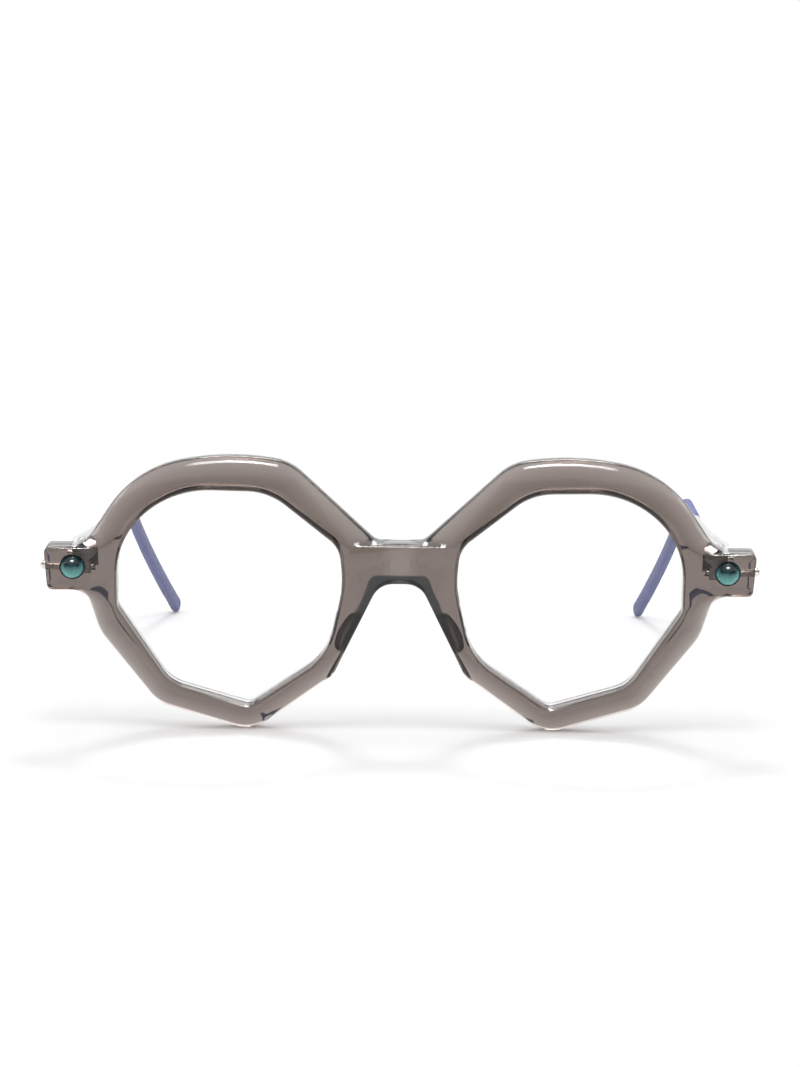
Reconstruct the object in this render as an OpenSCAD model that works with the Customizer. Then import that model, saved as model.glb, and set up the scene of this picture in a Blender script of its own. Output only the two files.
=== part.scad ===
// Geometric eyeglasses: a flat acetate front with two angular eyes, a wide milled bevel,
// straight lugs and a low bridge, on slim metal temples with soft sleeves.
// It stands on a table, temples open, on the two rims and the two sleeve ends.
// X runs across the face (the wearer's left is +X), Y from the front to the temple ends, Z up.

/* [Eyes] */
// Width of each eye opening
open_w = 46.6; // [42:0.1:52]
// Height of each eye opening
open_h = 46.2; // [40:0.1:50]
// Distance between the two eye openings across the nose
nose_gap = 23.2; // [21:0.1:27]
// Depth of the groove that holds the lens
groove_d = 0.6; // [0.4:0.05:0.8]
// Half width of the groove at its mouth
groove_w = 0.5; // [0.4:0.05:0.6]
// Chamfer on the edges of the eye openings
open_chamfer = 0.3; // [0.1:0.05:0.6]

/* [Front] */
// Thickness of the acetate
front_t = 5.6; // [4.8:0.1:7]
// Width of the rim round the eye
rim_w = 6; // [5.4:0.1:7]
// Lean of the front towards its face side
tilt = 6; // [2:0.5:10]
// Length of the lug beyond the eye opening
lug_l = 14.9; // [13:0.1:18]
// Height of the lug
lug_h = 9.1; // [8.4:0.1:12]
// Top of the lug above the eye's centre
lug_rise = 10.7; // [9:0.1:13]
// Top of the bridge above the eye's centre
bridge_rise = 11.8; // [10:0.1:14]
// Height of the bridge above the nose arch
bridge_h = 8.3; // [7:0.1:10]
// Half the width of the flat top of the bridge
bridge_half = 4.9; // [4:0.1:6.5]
// Half the width of the nose arch at its top
arch_half = 4.2; // [3.5:0.1:5.5]
// Width of the milled bevel on the upper rims
bevel_top = 5.2; // [3.5:0.1:5.4]
// Width of the milled bevel on the lower rims
bevel_low = 4.9; // [3:0.1:5.2]
// Depth that the bevel falls away at the outer edge
bevel_drop = 3.6; // [2:0.1:3.8]
// Chamfer on the lug and the bridge
edge_soft = 0.45; // [0.2:0.05:0.8]
// Rounding of the nose arch and the nose sides, at the front
nose_round = 0.5; // [0.3:0.1:1.6]
// Width of the cut-back on the nose side of the rims, at the rear
nose_cut = 1.8; // [0.6:0.1:2]
// Radius of the scoop behind the bridge
scoop_r = 9; // [7:0.5:14]
// Depth of the scoop behind the bridge
scoop_d = 0.9; // [0.5:0.1:2.4]

/* [Lens] */
// Thickness of the lens
lens_t = 2; // [1.8:0.1:2.4]
// Radius of the lens's front surface
lens_r = 500; // [450:10:900]
// Play between a lens and its groove
lens_play = 0.1; // [0.05:0.01:0.2]

/* [Nose pads] */
// Length of a nose pad along the rim
pad_l = 9; // [8:0.1:13]
// Width of a nose pad
pad_w = 2.7; // [2.4:0.1:3.6]
// How far a nose pad stands out behind the front
pad_h = 3.2; // [2:0.1:5]
// Distance of the pad's centre below the nose arch
pad_below = 11; // [7:0.1:12]
// Distance of the pad's centre from the middle of the nose
pad_out = 11.5; // [9:0.1:13]
// Slant of the pad
pad_slant = 24; // [0:1:30]

/* [Cabochon] */
// Diameter of the glass cabochon
gem_d = 4.7; // [3.6:0.1:5.4]
// Distance of the cabochon's centre from the lug's outer side
gem_in = 5.9; // [4.4:0.1:6.4]
// Height of the cabochon's centre above the middle of the lug
gem_up = 0.5; // [0:0.1:1]
// Wall of the bezel round the cabochon
bezel_t = 0.22; // [0.15:0.01:0.3]
// Depth of the bezel's seat in the lug
bezel_seat = 2; // [1.6:0.1:2.2]
// How far the bezel stands out of the lug
bezel_proud = 0.25; // [0.1:0.05:0.5]

/* [Lug screw] */
// Diameter of the screw that crosses the lug
cross_d = 1.5; // [1.2:0.05:1.7]
// Diameter of the screw's domed head
cross_head_d = 2.1; // [1.9:0.1:3]
// Height of the screw's domed head
cross_head_h = 1.25; // [0.8:0.05:1.4]
// Sink of the screw's head into the lug's side
cross_sink = 0.1; // [0.05:0.05:0.6]
// Reach of the screw into the lug, under its head
cross_l = 10.2; // [9.6:0.1:10.6]
// Depth of the screw's centre behind the front face
cross_depth = 3.6; // [3.3:0.1:3.8]

/* [Hinge] */
// Distance of the hinge axis from the lug's outer side
hinge_in = 7.5; // [7:0.1:9]
// Distance of the hinge axis behind the lug
hinge_back = 3.5; // [3:0.1:4.5]
// Height of the hinge's middle above the middle of the lug
hinge_up = 1.8; // [0:0.1:2.6]
// Radius of the hinge barrels
barrel_r = 1.5; // [1.3:0.05:1.6]
// Height of one hinge barrel
barrel_h = 1.15; // [1:0.05:1.4]
// Gap between two hinge barrels
barrel_gap = 0.1; // [0.05:0.01:0.2]
// Diameter of the hinge screw
pivot_d = 1.1; // [0.8:0.05:1.3]
// Diameter of the hinge screw's head
pivot_head_d = 2; // [1.6:0.1:2.4]
// Height of the hinge screw's head
pivot_head_h = 0.6; // [0.4:0.05:0.9]
// Thickness of the hinge leaves
leaf_t = 0.8; // [0.6:0.05:1]
// Length of the leaf on the temple
leaf_l = 6.5; // [5:0.1:9]
// Distance of the tongue in the lug from the lug's outer side
tongue_in = 8.3; // [7.8:0.1:9]
// Width of the tongue at its top
tongue_w = 5.1; // [4:0.1:5.4]
// Height of the tongue above the cross screw
tongue_h = 3.7; // [3:0.1:3.8]

/* [Temple] */
// Thickness of the metal arm
arm_t = 1.4; // [1:0.1:1.6]
// Height of the arm at the hinge
arm_h = 8.8; // [8:0.1:10.5]
// Height of the arm where the sleeve starts
arm_end_h = 3.1; // [2.6:0.1:3.6]
// Length of bare arm from the lug to the sleeve
arm_bare = 66; // [30:1:74]
// Length from the lug to the start of the ear bend
arm_straight = 88.8; // [78:0.1:110]
// How far the bare arm leans in towards the head
arm_in = 2; // [0:0.1:4]
// Radius of the ear bend
bend_r = 16; // [8:1:30]
// Angle of the sleeve below level past the bend
drop_angle = 37.5; // [30:0.5:50]
// How far the sleeve's end curves in towards the head
curve_in = 8.3; // [4:0.1:12]
// Thickness of the sleeve
sleeve_t = 2.2; // [1.8:0.1:3]
// Height of the sleeve
sleeve_h = 3.5; // [3.3:0.1:5]
// Thickness of the metal core inside the sleeve
core_t = 0.9; // [0.7:0.05:1.1]
// Height of the metal core inside the sleeve
core_h = 2; // [1.6:0.1:2.4]
// Distance of the core's end from the sleeve's end
core_short = 5; // [3:0.5:10]

/* [Fits] */
// Running clearance on a radius
run = 0.05; // [0.02:0.01:0.1]
// Clearance between parts that are assembled and stay put
seat = 0.04; // [0.02:0.01:0.1]
// Gap between the temple's end and the lug
butt_gap = 0.35; // [0.2:0.05:0.6]

/* [Hidden] */

acetate = [0.62, 0.56, 0.55, 0.75];
clear = [0.9, 0.95, 0.96, 0.3];
teal = [0.16, 0.46, 0.46];
steel = [0.78, 0.78, 0.79];
gunmetal = [0.25, 0.27, 0.28];
purple = [0.42, 0.41, 0.66];

// Arcs are drawn to this tolerance
arc_tol = 0.012;
// Cuts run this far past the faces they open
over = 1;
$fn = 64;

eye_x = (nose_gap + open_w) / 2;
eye_y = open_h / 2 + 0.7 * rim_w;
lug_x = eye_x + open_w / 2 + lug_l;
lug_top = eye_y + lug_rise;
lug_low = lug_top - lug_h;
lug_mid = lug_top - lug_h / 2;
bridge_top = eye_y + bridge_rise;
arch_top = bridge_top - bridge_h;
gem_x = lug_x - gem_in;
gem_y = lug_mid + gem_up;

// Corners of the left eye, clockwise from the front: place and radius in half sizes of the eye
eye_corners = [
    [-0.342, 0.987, 0.54],
    [0.519, 1.003, 0.86],
    [0.997, 0.526, 0.74],
    [0.998, -0.09, 0.12],
    [0.54, -0.792, 0.36],
    [-0.169, -1.005, 0.11],
    [-0.861, -0.524, 0.6],
    [-1.002, 0.135, 1.05],
    [-0.964, 0.483, 0.26]
];
function eye_point(i) = [
    eye_x + eye_corners[i][0] * open_w / 2,
    eye_y + eye_corners[i][1] * open_h / 2
];
eye = [for (i = [0:len(eye_corners) - 1]) [
    eye_point(i).x,
    eye_point(i).y,
    eye_corners[i][2] * open_w / 2,
    eye_corners[i][2] * open_w / 2
]];

// Each edge of the front: bevel width and drop at the front, then width and depth at the rear
soft_edge = [edge_soft, edge_soft, edge_soft, edge_soft];
upper_edge = [bevel_top, bevel_drop, edge_soft, edge_soft];
lug_side_edge = [bevel_low - 0.4, bevel_drop - 0.2, edge_soft, edge_soft];
lower_edge = [bevel_low, bevel_drop, edge_soft, edge_soft];
nose_edge = [nose_round, nose_round, nose_cut, nose_cut * 1.2];

// Corners of the left half of the front, clockwise from the bridge: x, y, radius, edge that follows
temple_side = eye_x + open_w / 2;
function near(i, right, up) = [eye_point(i).x + right * rim_w, eye_point(i).y + up * rim_w];
function corner(place, radius, edge) = [place[0], place[1], radius * rim_w, radius * rim_w, edge];
half_front = [
    corner([bridge_half, bridge_top], 0.55, upper_edge),
    corner(near(0, -0.72, 0.92), 1.8, upper_edge),
    corner([eye_x, eye_y + open_h / 2 + 1.19 * rim_w], 8.9, upper_edge),
    corner(near(1, 1.24, 0.59), 3.9, upper_edge),
    corner([temple_side + 1.11 * rim_w, lug_top], 0.87, soft_edge),
    corner([lug_x, lug_top], 0.21, soft_edge),
    corner([lug_x - 0.1 * rim_w, lug_low], 0.2, soft_edge),
    corner([temple_side + 1.14 * rim_w, lug_low], 0.75, lug_side_edge),
    corner(near(3, 0.63, -1.02), 1.85, lower_edge),
    corner(near(4, 0.43, -0.87), 1.33, lower_edge),
    corner(near(5, -0.09, -1.03), 1.33, lower_edge),
    corner(near(6, -0.1, -0.88), 1.6, nose_edge),
    corner([arch_half, arch_top], 0.78, nose_edge)
];
half_n = len(half_front);
whole_front = concat(
    half_front,
    [for (i = [half_n - 1:-1:0]) [
        -half_front[i][0],
        half_front[i][1],
        half_front[i][2],
        half_front[i][3],
        i > 0 ? half_front[i - 1][4] : soft_edge
    ]]
);
function edges(column) = [for (c = whole_front) c[4][column]];

// Outlines are lists of corners; an edge runs from a corner to the next one
function next_of(p, i) = p[(i + 1) % len(p)];
function prev_of(p, i) = p[(i + len(p) - 1) % len(p)];
function flat(c) = [c[0], c[1]];
function direction(a, b) = (flat(b) - flat(a)) / norm(flat(b) - flat(a));
function inward(d) = [d[1], -d[0]];
function cross2(a, b) = a[0] * b[1] - a[1] * b[0];
function turn(p, i) = let (
    a = direction(prev_of(p, i), p[i]),
    b = direction(p[i], next_of(p, i))
) atan2(cross2(a, b), a * b);

// Move each edge of a clockwise outline inwards by its own distance
function inset(p, by, least = 0.4) = [
    for (i = [0:len(p) - 1])
        let (
            a = inward(direction(prev_of(p, i), p[i])),
            b = inward(direction(p[i], next_of(p, i))),
            da = by[(i + len(p) - 1) % len(p)],
            db = by[i],
            mean = (da + db) / 2,
            k = cross2(a, b)
        ) [
            p[i][0] + (da * b[1] - db * a[1]) / k,
            p[i][1] + (db * a[0] - da * b[0]) / k,
            turn(p, i) < 0 ? max(least, p[i][2] - mean) : p[i][2] + mean,
            p[i][3]
        ]
];
function all_edges(p, d) = [for (c = p) d];

// Round each corner with an arc of its own radius, split alike on every ring
function arc_step(r) = 2 * acos(1 - arc_tol / max(r, 2 * arc_tol));
function arc_steps(p, i) = max(2, ceil(abs(turn(p, i)) / arc_step(p[i][3])));
function round_corner(p, i) = let (
    b = flat(p[i]),
    u = direction(p[i], prev_of(p, i)),
    w = direction(p[i], next_of(p, i)),
    half = acos(u * w) / 2,
    centre = b + (u + w) / norm(u + w) * p[i][2] / sin(half),
    foot = b + u * p[i][2] / tan(half) - centre,
    start = atan2(foot[1], foot[0]),
    n = arc_steps(p, i)
) [for (k = [0:n]) centre + p[i][2] * [cos(start + turn(p, i) * k / n), sin(start + turn(p, i) * k / n)]];
function rounded(p) = [for (i = [0:len(p) - 1]) each round_corner(p, i)];

// A depth for each point of the rounded outline, changing along a corner between its two edges
function along(p, per_edge) = [
    for (i = [0:len(p) - 1])
        let (n = arc_steps(p, i), a = per_edge[(i + len(p) - 1) % len(p)], b = per_edge[i])
            for (k = [0:n]) a + (b - a) * k / n
];
function ring(p, depths) = [let (r = rounded(p)) for (i = [0:len(r) - 1]) [r[i][0], r[i][1], -depths[i]]];
function level(p, depth) = [for (q = rounded(p)) [q[0], q[1], -depth]];

// Close a list of rings, each clockwise as seen from the first one's outside
module skin(rings) {
    n = len(rings[0]);
    last = len(rings) - 1;
    polyhedron(
        points = [for (r = rings) each r],
        faces = concat(
            [[for (i = [0:n - 1]) i]],
            [for (j = [0:last - 1], i = [0:n - 1]) [j * n + i, (j + 1) * n + i, j * n + (i + 1) % n]],
            [for (j = [0:last - 1], i = [0:n - 1])
                [j * n + (i + 1) % n, (j + 1) * n + i, (j + 1) * n + (i + 1) % n]],
            [[for (i = [n - 1:-1:0]) last * n + i]]
        ),
        convexity = 8
    );
}

// The front leans on its lower edge; its own frame is x, height along the front, minus the depth
low_edge = min([for (q = rounded(whole_front)) q[1]]);
lift = -low_edge * cos(tilt) - bevel_drop * sin(tilt);
function plane_y(depth, z) = depth / cos(tilt) - (z - lift) * tan(tilt);
function front_z(height, depth) = lift + height * cos(tilt) + depth * sin(tilt);
function front_y(height, depth) = depth * cos(tilt) - height * sin(tilt);

arm_z = front_z(lug_mid, front_t);
hinge_x = lug_x - hinge_in;
hinge_z = front_z(lug_mid + hinge_up, front_t);
hinge_y = plane_y(front_t, hinge_z) + hinge_back;
arm_x = hinge_x + barrel_r + 0.2 + arm_t / 2;

// Route of the temple: its middle runs level, then the ear bend, then straight down to the table
sleeve_end_r = sleeve_h / 2;
bend_len = bend_r * drop_angle * PI / 180;
drop_from = arm_z - bend_r * (1 - cos(drop_angle));
drop_len = (drop_from - sleeve_end_r * (cos(drop_angle) + 0.055)) / sin(drop_angle);
route_len = arm_straight + bend_len + drop_len;
arm_y0 = plane_y(front_t, arm_z);
function height_at(s) = arm_end_h
    + (arm_h - arm_end_h) * pow(1 - min(max(s, 0), arm_bare) / arm_bare, 1.6)
    - arm_h * 0.45 * pow(max(0, 1 - s / arm_h), 2);
function route_turn(s) = min(drop_angle, max(0, s - arm_straight) / bend_r * 180 / PI);
leaf_gap = 0.4;
leaf_end = hinge_back + barrel_r + leaf_gap + leaf_l;
function lean(s) = let (rest = 1 - min(1, max(0, s - leaf_end) / (arm_bare - leaf_end)))
    arm_in * (1 - rest * rest) + curve_in * pow(max(0, s - arm_straight) / (bend_len + drop_len), 1.5);
function route(s) = let (
    a = route_turn(s),
    past = max(0, s - arm_straight - bend_len)
) [
    arm_x - lean(s),
    arm_y0 + min(s, arm_straight) + bend_r * sin(a) + past * cos(drop_angle),
    arm_z - bend_r * (1 - cos(a)) - past * sin(drop_angle)
];
function unit(v) = v / norm(v);
function heading(s) = unit(route(s + 0.5) - route(s - 0.5));
function section(s, w, h, square = 3) = let (
    t = heading(s),
    side = unit([t[1], -t[0], 0]),
    up = cross(side, t)
) [for (k = [0:15]) let (
    a = k * 22.5,
    sx = sign(sin(a)) * pow(abs(sin(a)), 2 / square),
    sy = sign(cos(a)) * pow(abs(cos(a)), 2 / square)
) route(s) + side * sx * w / 2 + up * sy * h / 2];

// Whole object centred between the foremost and the rearmost points
foremost = min(
    front_y(eye_y + open_h / 2 + rim_w - bevel_top, 0),
    front_y(lug_mid, -gem_d / 2)
);
rearmost = route(route_len)[1] + sleeve_end_r * (sin(drop_angle) + 0.13);
middle = (foremost + rearmost) / 2;

module in_place() translate([0, -middle, 0]) children();
module on_front() in_place() translate([0, 0, lift]) rotate([90 + tilt, 0, 0]) children();
module other_side() mirror([1, 0, 0]) children();

// Bevel profile: how far in from the outer edge, and how much of the drop is left there
// A gentle slope with a tight round at its outer edge, drawn with closer rings near that edge
bevel_steps = 7;
function left_of_drop(t) = 0.74 * pow(1 - t, 1.3) + 0.26 * pow(max(0, 1 - 4 * t), 3);

module front_blank() {
    skin(concat(
        [for (k = [bevel_steps:-1:0]) let (t = pow(k / bevel_steps, 2)) ring(
            inset(whole_front, edges(0) * t),
            along(whole_front, edges(1) * left_of_drop(t))
        )],
        [ring(whole_front, along(whole_front, [for (d = edges(3)) front_t - d]))],
        [ring(
            inset(whole_front, edges(2) * 0.3),
            along(whole_front, [for (d = edges(3)) front_t - 0.3 * d])
        )],
        [level(inset(whole_front, edges(2)), front_t)]
    ));
}

groove_mid = front_t / 2 + 0.3;
module eye_cut() {
    skin([
        level(inset(eye, all_edges(eye, -open_chamfer - over)), -over),
        level(eye, open_chamfer),
        level(eye, groove_mid - groove_w),
        level(inset(eye, all_edges(eye, -groove_d)), groove_mid),
        level(eye, groove_mid + groove_w),
        level(eye, front_t - open_chamfer),
        level(inset(eye, all_edges(eye, -open_chamfer - over)), front_t + over)
    ]);
}

module scoop() {
    translate([0, arch_top - rim_w, scoop_d - front_t - scoop_r])
        rotate([-90, 0, 0]) cylinder(r = scoop_r, h = bridge_h + 2 * rim_w);
}

// The tongue's outline from the front: a goblet whose foot is the boss round the cross screw
tongue_x = lug_x - tongue_in;
boss_h = cross_d + 1;
tongue_depth = cross_depth - boss_h / 2;
goblet = [
    [0.5 * tongue_w, tongue_h],
    [0.47 * tongue_w, 0.8 * tongue_h],
    [0.3 * tongue_w, 0.55 * tongue_h],
    [0.16 * tongue_w, 0.42 * tongue_h],
    [0.16 * tongue_w, boss_h / 2 - 0.1],
    [boss_h / 2, boss_h / 2 - 0.3],
    [boss_h / 2, -boss_h / 2]
];
function tongue_outline(grow) = concat(
    [for (q = goblet) [tongue_x + q[0] + grow, lug_mid + q[1] + (q[1] > 0 ? grow : -grow)]],
    [for (i = [len(goblet) - 1:-1:0]) let (q = goblet[i])
        [tongue_x - q[0] - grow, lug_mid + q[1] + (q[1] > 0 ? grow : -grow)]]
);
module tongue_bar(grow, back) {
    translate([0, 0, -back])
        linear_extrude(back - tongue_depth + grow) polygon(tongue_outline(grow));
}

// The cross screw runs along X, in from the lug's outer side
screw_face = lug_x - cross_sink;
module along_screw(r, x0, x1) {
    translate([x0, lug_mid, -cross_depth]) rotate([0, 90, 0]) cylinder(r = r, h = x1 - x0);
}

module lug_cuts() {
    translate([gem_x, gem_y, -bezel_seat - seat])
        cylinder(r = gem_d / 2 + bezel_t + 2 * seat, h = bezel_seat + over);
    along_screw(cross_d / 2 + seat, screw_face - cross_l - 0.2, lug_x + over);
    along_screw(cross_head_d / 2 + seat, screw_face, lug_x + over);
    tongue_bar(seat, front_t + over);
}

front_w = 2 * max([for (q = rounded(whole_front)) q[0]]);
module front() {
    color(acetate) on_front() difference() {
        resize([front_w, 0, 0]) difference() {
            front_blank();
            eye_cut();
            other_side() eye_cut();
        }
        scoop();
        lug_cuts();
        other_side() lug_cuts();
    }
}

// A shallow meniscus lens whose edge has a bevel that sits in the groove
lens_body = inset(eye, all_edges(eye, lens_play));
lens_reach = max([for (q = rounded(lens_body)) norm(q - [eye_x, eye_y])]);
function sag(r, d) = r - sqrt(r * r - d * d);
lens_crown = groove_mid - groove_w - sag(lens_r, lens_reach);
function dish(t, crown, r) = [
    for (q = rounded(lens_body))
        let (v = (q - [eye_x, eye_y]) * t)
            [eye_x + v.x, eye_y + v.y, -crown - (t > 0.2 ? sag(r, norm(v)) : 0)]
];
module lens() {
    back = lens_crown + lens_t;
    bite = groove_w - lens_play;
    color(clear) on_front() skin([
        for (t = [0.15, 0.6, 1]) dish(t, lens_crown, lens_r),
        level(lens_body, groove_mid - bite),
        level(inset(eye, all_edges(eye, lens_play - groove_d)), groove_mid),
        level(lens_body, groove_mid + bite),
        for (t = [1, 0.6, 0.15]) dish(t, back, lens_r - lens_t)
    ]);
}

// A nose pad glued to the rear of the rim, its long axis along the nose side
module nose_pad() {
    rings = [[0, 0.92, 0.86], [0.25, 1, 1], [0.55, 0.98, 0.98], [0.8, 0.84, 0.8], [0.94, 0.6, 0.5], [1, 0.3, 0.2]];
    color(acetate) on_front() translate([pad_out, arch_top - pad_below, 0]) rotate([0, 0, pad_slant]) skin([
        for (r = rings) [for (k = [0:19]) [
            sin(k * 18) * pad_w / 2 * r[2] - r[0] * pad_w / 4,
            cos(k * 18) * pad_l / 2 * r[1],
            -front_t - pad_h * r[0]
        ]]
    ]);
}

module cabochon() {
    r = gem_d / 2;
    color(teal) on_front() translate([gem_x, gem_y, 0]) {
        translate([0, 0, -bezel_seat + bezel_t + seat])
            cylinder(r = r, h = bezel_seat - bezel_t - seat);
        intersection() {
            sphere(r = r);
            translate([0, 0, r - seat]) cube(2 * r, center = true);
        }
    }
}

module bezel() {
    r = gem_d / 2 + seat;
    color(gunmetal) on_front() translate([gem_x, gem_y, -bezel_seat]) difference() {
        cylinder(r = r + bezel_t, h = bezel_seat + bezel_proud);
        translate([0, 0, bezel_t]) cylinder(r = r, h = bezel_seat + over);
    }
}

// A slotted screw with a domed head, turned round its own axis
module lug_screw() {
    rim_h = 0.3;
    cap_h = cross_head_h - rim_h;
    cap_r = (pow(cross_head_d / 2, 2) + pow(cap_h, 2)) / (2 * cap_h);
    cap_angle = asin(cross_head_d / 2 / cap_r);
    profile = concat(
        [[0, -cross_l], [cross_d / 2 - 0.2, -cross_l], [cross_d / 2, 0.2 - cross_l]],
        [[cross_d / 2, 0], [cross_head_d / 2, 0]],
        [for (k = [0:5]) let (a = cap_angle * (1 - k / 5))
            [cap_r * sin(a), cross_head_h - cap_r * (1 - cos(a))]]
    );
    color(steel) on_front() translate([screw_face, lug_mid, -cross_depth]) difference() {
        rotate([0, 90, 0]) rotate_extrude() polygon(profile);
        translate([cross_head_h - 0.45, -cross_head_d, -0.18]) cube([over, 2 * cross_head_d, 0.36]);
    }
}

// Barrels are counted from the lowest one
function barrel_z(i) = hinge_z + (i - 1) * (barrel_h + barrel_gap) - barrel_h / 2;
module barrel(i, r, extra = 0) {
    translate([hinge_x, hinge_y, barrel_z(i) - extra]) cylinder(r = r, h = barrel_h + 2 * extra);
}

// The leaf on the lug, its tongue in the lug, and the upper and lower barrels
module hinge_front() {
    leaf_x0 = tongue_x - tongue_w / 2;
    leaf_x1 = hinge_x + 0.75 * barrel_r;
    leaf_h = 3 * barrel_h + 2 * barrel_gap + 0.3;
    color(steel) difference() {
        union() {
            on_front() {
                tongue_bar(0, front_t + leaf_t / 2);
                translate([leaf_x0, lug_mid + hinge_up - leaf_h / 2, -front_t - leaf_t])
                    cube([leaf_x1 - leaf_x0, leaf_h, leaf_t]);
            }
            in_place() for (i = [0, 2]) {
                barrel(i, barrel_r);
                y0 = plane_y(front_t + leaf_t / 2, barrel_z(i) + barrel_h / 2);
                translate([hinge_x - 0.7 * barrel_r, y0, barrel_z(i)])
                    cube([1.4 * barrel_r, hinge_y - y0, barrel_h]);
            }
        }
        in_place() translate([hinge_x, hinge_y, barrel_z(0) - over])
            cylinder(r = pivot_d / 2 + run, h = 3 * barrel_h + 2 * over + 1);
        on_front() along_screw(cross_d / 2 + seat, screw_face - cross_l - 1, lug_x);
    }
}

module hinge_screw() {
    top = barrel_z(2) + barrel_h;
    color(steel) in_place() difference() {
        union() {
            translate([hinge_x, hinge_y, barrel_z(0)])
                cylinder(r = pivot_d / 2, h = top - barrel_z(0) + pivot_head_h / 2);
            translate([hinge_x, hinge_y, top]) cylinder(r = pivot_head_d / 2, h = pivot_head_h);
        }
        translate([hinge_x - pivot_head_d, hinge_y - 0.15, top + pivot_head_h / 2])
            cube([2 * pivot_head_d, 0.3, over]);
    }
}

// The middle barrel and the leaf on the inner face of the arm
module hinge_temple() {
    inner = arm_x - arm_t / 2;
    leaf_h = 2 * barrel_h + 1;
    color(steel) in_place() difference() {
        union() {
            barrel(1, barrel_r);
            translate([hinge_x, hinge_y - 0.6, barrel_z(1)])
                cube([inner - hinge_x, barrel_r + 1.1, barrel_h]);
            translate([inner - leaf_t, hinge_y + barrel_r + leaf_gap, hinge_z - leaf_h / 2])
                cube([leaf_t, leaf_l, leaf_h]);
        }
        barrel(1, pivot_d / 2 + run, over);
    }
}

// The bare arm tapers from the hinge to the sleeve; its core runs on inside the sleeve
core_end = route_len - core_short;
module temple_arm() {
    taper = 6;
    bare = concat(
        [for (s = [1.5, 3.5, 6, 9]) section(s, arm_t, height_at(s), 6)],
        [for (k = [0:taper]) let (s = leaf_end + 0.2 + (arm_bare - leaf_end - 0.2) * k / taper)
            section(s, arm_t, height_at(s), 6)]
    );
    // The end that meets the lug is cut to the lug's lean
    butt = [for (q = section(1, arm_t, height_at(0), 6)) [q[0], plane_y(front_t + butt_gap, q[2]), q[2]]];
    cored = concat(
        [section(arm_bare + 0.01, core_t, core_h, 6)],
        [for (k = [1:3]) section(arm_bare + (arm_straight - arm_bare) * k / 3, core_t, core_h, 6)],
        [for (k = [1:4]) section(arm_straight + bend_len * k / 4, core_t, core_h, 6)],
        [for (k = [1:4]) let (s = arm_straight + bend_len) section(s + (core_end - s) * k / 4, core_t, core_h, 6)]
    );
    color(steel) in_place() skin(concat([butt], bare, cored));
}

// The sleeve is pushed over the core, and closed and rounded at its end
module temple_tip() {
    mouth = arm_bare + seat;
    stations = concat(
        [mouth, mouth + 0.4],
        [for (k = [1:4]) mouth + (arm_straight - mouth) * k / 4],
        [for (k = [1:6]) arm_straight + bend_len * k / 6],
        [for (k = [1:5]) let (s = arm_straight + bend_len) s + (route_len - 1 - s) * k / 5]
    );
    outside = concat(
        [for (i = [0:len(stations) - 1]) let (f = i == 0 ? 0.9 : 1)
            section(stations[i], sleeve_t * f, sleeve_h * f)],
        [for (a = [22:17:73]) section(
            route_len - 1 + (sleeve_end_r + 1) * sin(a) * 0.72,
            sleeve_t * pow(cos(a), 0.5),
            sleeve_h * pow(cos(a), 0.6)
        )]
    );
    hollow_w = core_t + 2 * seat;
    hollow_h = core_h + 2 * seat;
    inside = concat(
        [section(core_end + 0.3, hollow_w, hollow_h, 6)],
        [for (i = [len(stations) - 1:-1:0]) if (stations[i] < core_end) section(stations[i], hollow_w, hollow_h, 6)]
    );
    color(purple) in_place() sleeve_skin(outside, inside);
}

// Close an outer tube and the blind hole that runs back from its far end to its mouth
module sleeve_skin(outside, inside) {
    n = len(outside[0]);
    rings = concat(outside, inside);
    a = len(outside) - 1;
    b = len(rings) - 1;
    function band(j, k) = [for (i = [0:n - 1]) each [
        [j * n + i, k * n + i, j * n + (i + 1) % n],
        [j * n + (i + 1) % n, k * n + i, k * n + (i + 1) % n]
    ]];
    polyhedron(
        points = [for (r = rings) each r],
        faces = concat(
            [for (j = [0:a - 1]) each band(j, j + 1)],
            [[for (i = [n - 1:-1:0]) a * n + i]],
            [[for (i = [0:n - 1]) (a + 1) * n + i]],
            [for (j = [a + 1:b - 1]) each band(j, j + 1)],
            band(b, 0)
        ),
        convexity = 8
    );
}

front();
lens();  // lens_left
other_side() lens();  // lens_right
nose_pad();  // nose_pad_left
other_side() nose_pad();  // nose_pad_right
cabochon();  // cabochon_left
other_side() cabochon();  // cabochon_right
bezel();  // bezel_left
other_side() bezel();  // bezel_right
lug_screw();  // lug_screw_left
other_side() lug_screw();  // lug_screw_right
hinge_front();  // hinge_front_left
other_side() hinge_front();  // hinge_front_right
hinge_screw();  // hinge_screw_left
other_side() hinge_screw();  // hinge_screw_right
hinge_temple();  // hinge_temple_left
other_side() hinge_temple();  // hinge_temple_right
temple_arm();  // temple_arm_left
other_side() temple_arm();  // temple_arm_right
temple_tip();  // temple_tip_left
other_side() temple_tip();  // temple_tip_right
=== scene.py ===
import math

import bpy
from mathutils import Matrix, Vector


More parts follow.
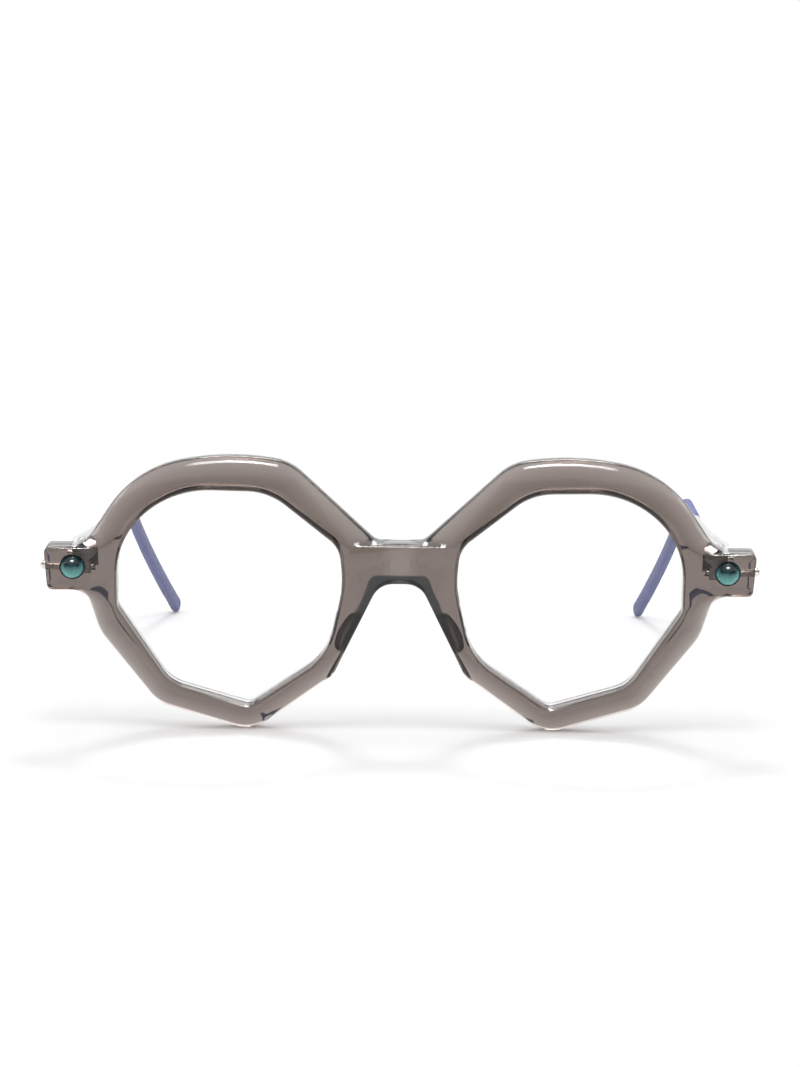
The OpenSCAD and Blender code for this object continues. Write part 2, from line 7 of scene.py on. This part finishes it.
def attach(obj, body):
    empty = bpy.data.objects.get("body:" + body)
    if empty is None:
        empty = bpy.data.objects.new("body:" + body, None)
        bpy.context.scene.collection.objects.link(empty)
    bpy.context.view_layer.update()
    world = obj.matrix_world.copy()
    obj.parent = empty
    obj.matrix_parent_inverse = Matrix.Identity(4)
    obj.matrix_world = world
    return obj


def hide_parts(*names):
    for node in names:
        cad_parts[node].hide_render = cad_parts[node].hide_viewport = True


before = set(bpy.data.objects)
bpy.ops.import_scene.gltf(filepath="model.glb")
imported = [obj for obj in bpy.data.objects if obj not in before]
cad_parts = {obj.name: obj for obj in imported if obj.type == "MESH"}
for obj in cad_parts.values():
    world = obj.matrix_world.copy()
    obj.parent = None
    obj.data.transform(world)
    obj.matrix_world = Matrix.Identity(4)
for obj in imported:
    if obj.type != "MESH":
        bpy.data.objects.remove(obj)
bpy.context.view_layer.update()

# The view
# The glasses stand on a table and are seen from the front and a little from
# above, through a long lens 65 cm in front of them.
IMAGE_HEIGHT = 1067
FOCAL_PIXELS = 3203
CAMERA_AT = Vector((0.0084, -0.71863, 0.14183))
CAMERA_PITCH = math.radians(8.742)
CAMERA_YAW = math.radians(0.742)
CAMERA_ROLL = math.radians(0.494)
NEAREST_SEEN = 0.01
FARTHEST_SEEN = 20

bpy.ops.object.select_all(action="DESELECT")
bpy.ops.object.camera_add(location=CAMERA_AT)
camera = bpy.context.object
camera.name = "table_camera"
camera.rotation_euler = (
    Matrix.Rotation(CAMERA_YAW, 3, "Z")
    @ Matrix.Rotation(math.pi / 2 - CAMERA_PITCH, 3, "X")
    @ Matrix.Rotation(CAMERA_ROLL, 3, "Z")
).to_euler()
camera.data.sensor_width = 36
camera.data.lens = FOCAL_PIXELS * camera.data.sensor_width / IMAGE_HEIGHT
camera.data.clip_start = NEAREST_SEEN
camera.data.clip_end = FARTHEST_SEEN
bpy.context.scene.camera = camera
bpy.context.scene.view_settings.view_transform = "Standard"

# The acetate front
# One milled plate of translucent smoke-grey acetate, tumbled until its wide
# bevels are round and glossy. A band of painted shade follows the arch and
# both nose edges, where the real plate turns the light away.
ACETATE_IOR = 1.49
ACETATE_TINT = (0.44, 0.3675, 0.33)
ACETATE_DENSITY = 510
ACETATE_MILKY = (0.93, 0.91, 0.91)
ACETATE_CLEAR = (0.99, 0.98, 0.98)
FRONT_LAMP_TINT = (0.72, 0.69, 0.68)
NOSE_SLANT = (0.925, 0.38)
NOSE_OFFSET = 0.01655
ARCH_TOP = 0.0314
# Colour and shape of the painted shade band along the arch and nose edges.
PAINTED_SHADE_COLOUR = (0.15, 0.19, 0.21)
BAND_WIDTH = 0.0018
BAND_CORNER = 0.002
BAND_EDGE = 0.00035
BAND_WOBBLE = 0.0009
BAND_WOBBLE_SCALE = 260
BAND_FOOT = 0.0165
BAND_REACH = 0.0125
CLOUD_LOW = 0.3
CLOUD_HIGH = 0.7
WELD_DISTANCE = 1e-6


def material(name):
    """A new node material, with its nodes and links."""
    made = bpy.data.materials.new(name)
    made.use_nodes = True
    tree = made.node_tree
    tree.nodes.clear()
    return made, tree.nodes, tree.links


def add(nodes, kind, **values):
    """A node of that kind, with its sockets and settings as given."""
    node = nodes.new("ShaderNode" + kind)
    for key, value in values.items():
        socket = node.inputs.get(key.replace("_", " ").title())
        if socket is None:
            setattr(node, key, value)
        else:
            socket.default_value = value
    return node


def cloud(nodes, links, scale, detail=3, stretch=(1, 1, 1)):
    """Soft noise in the piece's own space, from 0 to 1."""
    place = add(nodes, "TexCoord")
    turn = add(nodes, "Mapping")
    turn.inputs["Scale"].default_value = stretch
    noise = add(nodes, "TexNoise", scale=scale, detail=detail)
    links.new(place.outputs["Object"], turn.inputs["Vector"])
    links.new(turn.outputs["Vector"], noise.inputs["Vector"])
    return noise.outputs["Fac"]


def blend_colours(nodes, links, factor, low, high, start=0.35, end=0.65):
    """A colour that goes from low to high as the factor rises."""
    ramp = add(nodes, "ValToRGB")
    ramp.color_ramp.elements[0].position = start
    ramp.color_ramp.elements[0].color = (*low, 1)
    ramp.color_ramp.elements[1].position = end
    ramp.color_ramp.elements[1].color = (*high, 1)
    links.new(factor, ramp.inputs["Fac"])
    return ramp.outputs["Color"]


def spread(nodes, links, factor, low, high):
    """A number that goes from low to high as the factor rises."""
    span = add(nodes, "MapRange")
    span.inputs["From Min"].default_value = CLOUD_LOW
    span.inputs["From Max"].default_value = CLOUD_HIGH
    span.inputs["To Min"].default_value = low
    span.inputs["To Max"].default_value = high
    links.new(factor, span.inputs["Value"])
    return span.outputs["Result"]


def let_lamps_through(nodes, links, shader, tint):
    """Lamps shine through the piece with that tint, so what is inside is lit."""
    path = add(nodes, "LightPath")
    gap = add(nodes, "BsdfTransparent", color=(*tint, 1))
    both = add(nodes, "MixShader")
    links.new(path.outputs["Is Shadow Ray"], both.inputs["Fac"])
    links.new(shader.outputs[0], both.inputs[1])
    links.new(gap.outputs[0], both.inputs[2])
    return both


def polished_copy(node, name, body, sharp=35, soften=0.0):
    """The node's own shape as one welded mesh with smooth faces and soft edges."""
    bpy.ops.object.select_all(action="DESELECT")
    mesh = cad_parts[node].data.copy()
    mesh.materials.clear()
    piece = bpy.data.objects.new(name, mesh)
    bpy.context.scene.collection.objects.link(piece)
    piece.select_set(True)
    bpy.context.view_layer.objects.active = piece
    bpy.ops.object.mode_set(mode="EDIT")
    bpy.ops.mesh.select_all(action="SELECT")
    bpy.ops.mesh.customdata_custom_splitnormals_clear()
    bpy.ops.mesh.remove_doubles(threshold=WELD_DISTANCE)
    bpy.ops.object.mode_set(mode="OBJECT")
    if soften:
        bevel = piece.modifiers.new("soft_edges", "BEVEL")
        bevel.width = soften
        bevel.segments = 2
        bevel.limit_method = "ANGLE"
        bevel.angle_limit = math.radians(sharp)
        bpy.ops.object.modifier_apply(modifier="soft_edges")
    bpy.ops.object.shade_smooth_by_angle(angle=math.radians(sharp))
    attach(piece, body)
    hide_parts(node)
    return piece


def sum_of(nodes, links, *terms, offset=0.0):
    """Adds up each socket times its share, and the offset."""
    total = None
    for socket, share in terms:
        term = add(nodes, "Math", operation="MULTIPLY_ADD")
        term.inputs[1].default_value = share
        term.inputs[2].default_value = offset
        links.new(socket, term.inputs[0])
        if total:
            links.new(total, term.inputs[2])
        total = term.outputs[0]
    return total


def painted_nose_shade(nodes, links):
    """1 along the arch and down both nose edges: painted shade where light is turned
    away.
    """
    place = add(nodes, "TexCoord")
    split = add(nodes, "SeparateXYZ")
    links.new(place.outputs["Object"], split.inputs[0])
    side = add(nodes, "Math", operation="ABSOLUTE")
    links.new(split.outputs["X"], side.inputs[0])
    wobble = cloud(nodes, links, BAND_WOBBLE_SCALE, 2)
    slant = sum_of(
        nodes,
        links,
        (side.outputs[0], NOSE_SLANT[0]),
        (split.outputs["Z"], NOSE_SLANT[1]),
        (wobble, BAND_WOBBLE),
        offset=-NOSE_OFFSET,
    )
    arch = sum_of(nodes, links, (split.outputs["Z"], 1), offset=-ARCH_TOP)
    depth = add(nodes, "Math", operation="SMOOTH_MAX")
    depth.inputs[2].default_value = BAND_CORNER
    links.new(slant, depth.inputs[0])
    links.new(arch, depth.inputs[1])
    inside = add(nodes, "MapRange", interpolation_type="SMOOTHSTEP")
    inside.inputs["From Min"].default_value = BAND_WIDTH + BAND_EDGE
    inside.inputs["From Max"].default_value = BAND_WIDTH
    links.new(depth.outputs[0], inside.inputs["Value"])
    foot = add(nodes, "MapRange", interpolation_type="SMOOTHSTEP")
    foot.inputs["From Min"].default_value = BAND_FOOT
    foot.inputs["From Max"].default_value = BAND_FOOT + 4 * BAND_EDGE
    links.new(split.outputs["Z"], foot.inputs["Value"])
    near = add(nodes, "Math", operation="LESS_THAN")
    near.inputs[1].default_value = BAND_REACH
    links.new(side.outputs[0], near.inputs[0])
    both = add(nodes, "Math", operation="MULTIPLY")
    links.new(inside.outputs[0], both.inputs[0])
    links.new(foot.outputs[0], both.inputs[1])
    masked = add(nodes, "Math", operation="MULTIPLY")
    links.new(both.outputs[0], masked.inputs[0])
    links.new(near.outputs[0], masked.inputs[1])
    return masked.outputs[0]


smoke_acetate, nodes, links = material("smoke_acetate")
haze = cloud(nodes, links, 70)
shine = cloud(nodes, links, 900, 4)
plastic = add(nodes, "BsdfPrincipled")
plastic.inputs["IOR"].default_value = ACETATE_IOR
plastic.inputs["Transmission Weight"].default_value = 1
# The acetate's colour, darkened by painted shade along the arch and nose edges.
tint_and_painted_shade = add(nodes, "Mix", data_type="RGBA")
tint_and_painted_shade.inputs[7].default_value = (*PAINTED_SHADE_COLOUR, 1)
links.new(painted_nose_shade(nodes, links), tint_and_painted_shade.inputs[0])
links.new(
    blend_colours(nodes, links, haze, ACETATE_MILKY, ACETATE_CLEAR),
    tint_and_painted_shade.inputs[6],
)
links.new(tint_and_painted_shade.outputs[2], plastic.inputs["Base Color"])
links.new(spread(nodes, links, shine, 0.015, 0.04), plastic.inputs["Roughness"])
absorb = add(nodes, "VolumeAbsorption")
absorb.inputs["Color"].default_value = (*ACETATE_TINT, 1)
absorb.inputs["Density"].default_value = ACETATE_DENSITY
result = add(nodes, "OutputMaterial")
lit = let_lamps_through(nodes, links, plastic, FRONT_LAMP_TINT)
links.new(lit.outputs[0], result.inputs["Surface"])
links.new(absorb.outputs[0], result.inputs["Volume"])

front = polished_copy("front", "acetate_front", "frame", 35)
front.data.materials.append(smoke_acetate)

# The lenses
# Clear demonstration lenses, edged to the eye's outline with a bevel that
# snaps into the groove of the rim.
LENS_IOR = 1.5
LENS_LAMP_TINT = (0.97, 0.98, 0.98)

clear_lens, nodes, links = material("clear_lens")
film = cloud(nodes, links, 40)
pane = add(nodes, "BsdfPrincipled")
pane.inputs["IOR"].default_value = LENS_IOR
pane.inputs["Transmission Weight"].default_value = 1
links.new(
    blend_colours(nodes, links, film, (0.985, 0.99, 0.99), (1, 1, 1)),
    pane.inputs["Base Color"],
)
links.new(spread(nodes, links, film, 0.0, 0.004), pane.inputs["Roughness"])
result = add(nodes, "OutputMaterial")
lit = let_lamps_through(nodes, links, pane, LENS_LAMP_TINT)
links.new(lit.outputs[0], result.inputs["Surface"])

for side in ("left", "right"):
    lens = polished_copy(f"lens_{side}", f"clear_lens_{side}", "frame", 20)
    lens.data.materials.append(clear_lens)

# The nose pads
# Two small tear-shaped pads of the same acetate, glued to the rear of the
# rims. Painted shade makes them denser than the front, so they show through
# the front as dark ovals.
# Painted shade: the pads absorb more light than the front's acetate.
PAD_DENSITY = 800
PAD_LAMP_TINT = (0.75, 0.73, 0.72)

pad_acetate, nodes, links = material("pad_acetate")
haze = cloud(nodes, links, 120)
plastic = add(nodes, "BsdfPrincipled")
plastic.inputs["IOR"].default_value = ACETATE_IOR
plastic.inputs["Transmission Weight"].default_value = 1
links.new(
    blend_colours(nodes, links, haze, ACETATE_MILKY, ACETATE_CLEAR),
    plastic.inputs["Base Color"],
)
links.new(spread(nodes, links, haze, 0.03, 0.07), plastic.inputs["Roughness"])
absorb = add(nodes, "VolumeAbsorption")
absorb.inputs["Color"].default_value = (*ACETATE_TINT, 1)
absorb.inputs["Density"].default_value = PAD_DENSITY
result = add(nodes, "OutputMaterial")
lit = let_lamps_through(nodes, links, plastic, PAD_LAMP_TINT)
links.new(lit.outputs[0], result.inputs["Surface"])
links.new(absorb.outputs[0], result.inputs["Volume"])

for side in ("left", "right"):
    pad = polished_copy(f"nose_pad_{side}", f"acetate_pad_{side}", "frame", 40)
    pad.data.materials.append(pad_acetate)

# The cabochons
# A domed bead of cloudy teal glass on each lug, set in a thin dark metal cup.
# Its colour is nearly black at its top, a painted dark reflection, and pale
# round its lower edge, painted light.
BEAD_CENTRE = (0.0672, 0, 0.03475)
DARK_FROM = 0.0337
DARK_TO = 0.0372
DARK_STRENGTH = 1.5
CLOUD_SHARE = 0.5
PALE_FROM = 0.0015
PALE_TO = 0.00228
PALE_STRENGTH = 0.45
BEAD_PALE = (0.12, 0.39, 0.37)
BEAD_DARK = (0.0005, 0.014, 0.019)
BEAD_IOR = 1.55

teal_glass, nodes, links = material("teal_glass")
place = add(nodes, "TexCoord")
split = add(nodes, "SeparateXYZ")
# Painted dark reflection: the colour darkens towards the bead's top.
painted_dark_top = add(nodes, "MapRange")
painted_dark_top.inputs["From Min"].default_value = DARK_FROM
painted_dark_top.inputs["From Max"].default_value = DARK_TO
painted_dark_top.inputs["To Max"].default_value = DARK_STRENGTH
links.new(place.outputs["Object"], split.inputs[0])
links.new(split.outputs["Z"], painted_dark_top.inputs["Value"])
depth = cloud(nodes, links, 900, 4)
mixed = add(nodes, "Math", operation="MULTIPLY_ADD")
mixed.inputs[1].default_value = CLOUD_SHARE
links.new(depth, mixed.inputs[0])
links.new(painted_dark_top.outputs["Result"], mixed.inputs[2])
# Painted light: the colour turns pale in a ring round the bead's edge.
folded = add(nodes, "VectorMath", operation="ABSOLUTE")
front_view = add(nodes, "VectorMath", operation="MULTIPLY")
front_view.inputs[1].default_value = (1, 0, 1)
from_centre = add(nodes, "VectorMath", operation="DISTANCE")
from_centre.inputs[1].default_value = BEAD_CENTRE
painted_pale_rim = add(nodes, "MapRange")
painted_pale_rim.inputs["From Min"].default_value = PALE_FROM
painted_pale_rim.inputs["From Max"].default_value = PALE_TO
darkness = add(nodes, "Math", operation="MULTIPLY_ADD")
darkness.inputs[1].default_value = -PALE_STRENGTH
links.new(place.outputs["Object"], folded.inputs[0])
links.new(folded.outputs[0], front_view.inputs[0])
links.new(front_view.outputs[0], from_centre.inputs[0])
links.new(from_centre.outputs["Value"], painted_pale_rim.inputs["Value"])
links.new(painted_pale_rim.outputs["Result"], darkness.inputs[0])
links.new(mixed.outputs[0], darkness.inputs[2])
bead = add(nodes, "BsdfPrincipled", roughness=0.3)
bead.inputs["IOR"].default_value = BEAD_IOR
bead.inputs["Specular IOR Level"].default_value = 0.2
bead.inputs["Coat Weight"].default_value = 0.65
bead.inputs["Coat Roughness"].default_value = 0.02
links.new(
    blend_colours(
        nodes, links, darkness.outputs[0], BEAD_PALE, BEAD_DARK, start=0, end=0.95
    ),
    bead.inputs["Base Color"],
)
result = add(nodes, "OutputMaterial")
links.new(bead.outputs[0], result.inputs["Surface"])

dark_cup, nodes, links = material("dark_cup")
wear = cloud(nodes, links, 1500)
cup = add(nodes, "BsdfPrincipled", metallic=1)
links.new(
    blend_colours(nodes, links, wear, (0.02, 0.025, 0.028), (0.05, 0.055, 0.06)),
    cup.inputs["Base Color"],
)
links.new(spread(nodes, links, wear, 0.25, 0.4), cup.inputs["Roughness"])
result = add(nodes, "OutputMaterial")
links.new(cup.outputs[0], result.inputs["Surface"])

for side in ("left", "right"):
    gem = polished_copy(f"cabochon_{side}", f"teal_bead_{side}", "frame", 30)
    gem.data.materials.append(teal_glass)
    ring = polished_copy(f"bezel_{side}", f"bead_cup_{side}", "frame", 30, 4e-5)
    ring.data.materials.append(dark_cup)

# The metal fittings
# Polished steel hinge halves, an upright screw through their barrels, and a
# domed cross screw that holds each tongue inside its lug.
EDGE_SOFTNESS = 5e-5
GRAIN_HEIGHT = 2e-5


def polished_steel(name, low, high, smooth, rough, stretch, scale):
    """Bare steel with fine polishing lines along one direction."""
    made, nodes, links = material(name)
    lines = cloud(nodes, links, scale, 5, stretch)
    metal = add(nodes, "BsdfPrincipled", metallic=1)
    links.new(blend_colours(nodes, links, lines, low, high), metal.inputs["Base Color"])
    links.new(spread(nodes, links, lines, smooth, rough), metal.inputs["Roughness"])
    grain = add(nodes, "Bump", strength=0.08, distance=GRAIN_HEIGHT)
    links.new(lines, grain.inputs["Height"])
    links.new(grain.outputs[0], metal.inputs["Normal"])
    result = add(nodes, "OutputMaterial")
    links.new(metal.outputs[0], result.inputs["Surface"])
    return made


hinge_steel = polished_steel(
    "hinge_steel", (0.33, 0.33, 0.33), (0.42, 0.42, 0.42), 0.4, 0.52, (1, 1, 6), 900
)
screw_steel = polished_steel(
    "screw_steel", (0.72, 0.70, 0.66), (0.84, 0.82, 0.78), 0.12, 0.22, (1, 1, 1), 1400
)
arm_steel = polished_steel(
    "arm_steel", (0.60, 0.60, 0.61), (0.74, 0.74, 0.75), 0.10, 0.2, (1, 0.05, 1), 1600
)

for side in ("left", "right"):
    temple = f"{side}_temple"
    for node, name, body, slot, steel in (
        (f"lug_screw_{side}", f"cross_screw_{side}", "frame", "screw", screw_steel),
        (f"hinge_screw_{side}", f"upright_screw_{side}", "frame", "screw", screw_steel),
        (f"hinge_front_{side}", f"lug_hinge_{side}", "frame", "hinge", hinge_steel),
        (f"hinge_temple_{side}", f"arm_hinge_{side}", temple, "hinge", hinge_steel),
    ):
        fitting = polished_copy(node, name, body, 30, EDGE_SOFTNESS)
        fitting.data.materials.append(steel)

# The temples
# Flat polished steel arms that taper back from the hinge. A soft sleeve is
# pushed over each one's core and bent down behind the ear.
SLEEVE_DARK = (0.036, 0.041, 0.158)
SLEEVE_PALE = (0.078, 0.083, 0.26)
NAP_HEIGHT = 3e-5

violet_sleeve, nodes, links = material("violet_sleeve")
mottle = cloud(nodes, links, 700, 5)
grain = cloud(nodes, links, 3000, 3)
skin = add(nodes, "BsdfPrincipled")
skin.inputs["Specular IOR Level"].default_value = 0.4
links.new(
    blend_colours(nodes, links, mottle, SLEEVE_DARK, SLEEVE_PALE),
    skin.inputs["Base Color"],
)
links.new(spread(nodes, links, grain, 0.45, 0.6), skin.inputs["Roughness"])
nap = add(nodes, "Bump", strength=0.15, distance=NAP_HEIGHT)
links.new(grain, nap.inputs["Height"])
links.new(nap.outputs[0], skin.inputs["Normal"])
result = add(nodes, "OutputMaterial")
links.new(skin.outputs[0], result.inputs["Surface"])

for side in ("left", "right"):
    temple = f"{side}_temple"
    arm = polished_copy(f"temple_arm_{side}", f"steel_arm_{side}", temple, 50)
    arm.data.materials.append(arm_steel)
    sleeve = polished_copy(
        f"temple_tip_{side}", f"violet_sleeve_{side}", temple, 60
    )
    sleeve.data.materials.append(violet_sleeve)

# The table and the light
# A white table that turns to pure white away from the glasses, a soft box
# overhead and a smaller lamp behind, and a white room that is darker on the
# camera's side. Its bright panels show in reflections only.
TABLE_SIZE = 12
TABLE_WHITE = (0.86, 0.86, 0.86, 1)
FADE_FROM = 0.13
FADE_TO = 0.35

bpy.ops.object.select_all(action="DESELECT")
bpy.ops.mesh.primitive_plane_add(size=TABLE_SIZE, location=(0, 0, 0))
table = bpy.context.object
table.name = "white_table"
table_white, nodes, links = material("table_white")
place = add(nodes, "TexCoord")
reach = add(nodes, "VectorMath", operation="LENGTH")
links.new(place.outputs["Object"], reach.inputs[0])
fade = add(nodes, "MapRange", interpolation_type="SMOOTHSTEP")
fade.inputs["From Min"].default_value = FADE_FROM
fade.inputs["From Max"].default_value = FADE_TO
links.new(reach.outputs["Value"], fade.inputs["Value"])
paint = add(nodes, "BsdfDiffuse", color=TABLE_WHITE)
white = add(nodes, "Emission", color=(1, 1, 1, 1), strength=1)
far = add(nodes, "MixShader")
links.new(fade.outputs["Result"], far.inputs["Fac"])
links.new(paint.outputs[0], far.inputs[1])
links.new(white.outputs[0], far.inputs[2])
result = add(nodes, "OutputMaterial")
links.new(far.outputs[0], result.inputs["Surface"])
table.data.materials.append(table_white)

LIGHT_FOCUS = Vector((0, -0.07, 0.03))
for name, height_deg, width, depth, power in (
    ("soft_box", 108, 1.0, 0.35, 3.2),
    ("rear_light", 49, 0.24, 0.1, 2.3),
):
    lean = math.radians(90 - height_deg)
    bpy.ops.object.light_add(
        type="AREA",
        location=LIGHT_FOCUS + Vector((0, math.sin(lean), math.cos(lean))),
        rotation=(-lean, 0, 0),
    )
    lamp = bpy.context.object
    lamp.name = name
    lamp.data.shape = "RECTANGLE"
    lamp.data.size = width
    lamp.data.size_y = depth
    lamp.data.energy = power
    lamp.visible_glossy = False
    lamp.visible_transmission = False

room = bpy.data.worlds.new("white_room")
bpy.context.scene.world = room
room.use_nodes = True
nodes, links = room.node_tree.nodes, room.node_tree.links
nodes.clear()
place = add(nodes, "TexCoord")
split = add(nodes, "SeparateXYZ")
links.new(place.outputs["Generated"], split.inputs[0])


def levels(steps):
    """A grey level that follows the height in the sky, given as (height, level)."""
    ramp = add(nodes, "ValToRGB")
    while len(ramp.color_ramp.elements) < len(steps):
        ramp.color_ramp.elements.new(1)
    for element, (height, level) in zip(ramp.color_ramp.elements, steps):
        element.position = height
        element.color = (level, level, level, 1)
    links.new(split.outputs["Z"], ramp.inputs["Fac"])
    return ramp.outputs["Color"]


BRIGHTEST = 2.7
SOFT_LIGHT_LEVEL = 0.84
BACKDROP_LEVEL = 1.0
PANEL_EDGE = 0.04
PANEL_FOOT = (0.2, 0.3)
behind = levels(
    [(0, 0.38), (0.36, 0.38), (0.4, 1), (0.52, 1), (0.56, 0.3), (0.9, 0.3)]
)
camera_side = levels(
    [(0, 0.02), (0.2, 0.06), (0.46, 0.12), (0.52, 0.36), (0.76, 0.36), (0.82, 0.3)]
)
depth = add(nodes, "MapRange", interpolation_type="SMOOTHSTEP")
depth.inputs["From Min"].default_value = -0.1
depth.inputs["From Max"].default_value = 0.15
links.new(split.outputs["Y"], depth.inputs["Value"])
around = add(nodes, "Mix", data_type="RGBA")
links.new(depth.outputs["Result"], around.inputs[0])
links.new(camera_side, around.inputs[6])
links.new(behind, around.inputs[7])
grey = add(nodes, "RGBToBW")
links.new(around.outputs[2], grey.inputs[0])
seen_level = add(nodes, "Math", operation="MULTIPLY")
seen_level.inputs[1].default_value = BRIGHTEST
links.new(grey.outputs[0], seen_level.inputs[0])


def sky_patch(half_width, y_from, y_to, level):
    """A bright panel above the table, between two depths of the sky."""
    across = add(nodes, "Math", operation="ABSOLUTE")
    links.new(split.outputs["X"], across.inputs[0])
    total = None
    for socket, dark, bright in (
        (across.outputs[0], half_width + PANEL_EDGE, half_width - PANEL_EDGE),
        (split.outputs["Y"], y_from - PANEL_EDGE, y_from + PANEL_EDGE),
        (split.outputs["Y"], y_to + PANEL_EDGE, y_to - PANEL_EDGE),
        (split.outputs["Z"], *PANEL_FOOT),
    ):
        edge = add(nodes, "MapRange", interpolation_type="SMOOTHSTEP")
        edge.inputs["From Min"].default_value = dark
        edge.inputs["From Max"].default_value = bright
        edge.inputs["To Max"].default_value = 1 if total else level
        links.new(socket, edge.inputs["Value"])
        if total:
            both = add(nodes, "Math", operation="MULTIPLY")
            links.new(edge.outputs["Result"], both.inputs[0])
            links.new(total, both.inputs[1])
            total = both.outputs[0]
        else:
            total = edge.outputs["Result"]
    return total


path = add(nodes, "LightPath")
front_panels = add(nodes, "Math", operation="ADD")
links.new(sky_patch(0.26, -0.5, -0.18, 14), front_panels.inputs[0])
links.new(sky_patch(0.12, -0.42, -0.26, 34), front_panels.inputs[1])
panels = add(nodes, "Math", operation="ADD")
links.new(front_panels.outputs[0], panels.inputs[0])
links.new(sky_patch(0.2, 0.56, 0.74, 12), panels.inputs[1])
panels_seen = add(nodes, "Math", operation="MULTIPLY_ADD")
links.new(panels.outputs[0], panels_seen.inputs[0])
links.new(path.outputs["Is Glossy Ray"], panels_seen.inputs[1])
links.new(seen_level.outputs[0], panels_seen.inputs[2])
mirrored = add(nodes, "Math", operation="MAXIMUM")
links.new(path.outputs["Is Glossy Ray"], mirrored.inputs[0])
links.new(path.outputs["Is Transmission Ray"], mirrored.inputs[1])
soft_level = add(nodes, "Mix", data_type="FLOAT")
soft_level.inputs[2].default_value = SOFT_LIGHT_LEVEL
links.new(mirrored.outputs[0], soft_level.inputs[0])
links.new(panels_seen.outputs[0], soft_level.inputs[3])
camera_level = add(nodes, "Mix", data_type="FLOAT")
camera_level.inputs[3].default_value = BACKDROP_LEVEL
links.new(path.outputs["Is Camera Ray"], camera_level.inputs[0])
links.new(soft_level.outputs[0], camera_level.inputs[2])
sky = add(nodes, "Background", color=(1, 1, 1, 1))
links.new(camera_level.outputs[0], sky.inputs["Strength"])
result = add(nodes, "OutputWorld")
links.new(sky.outputs[0], result.inputs["Surface"])
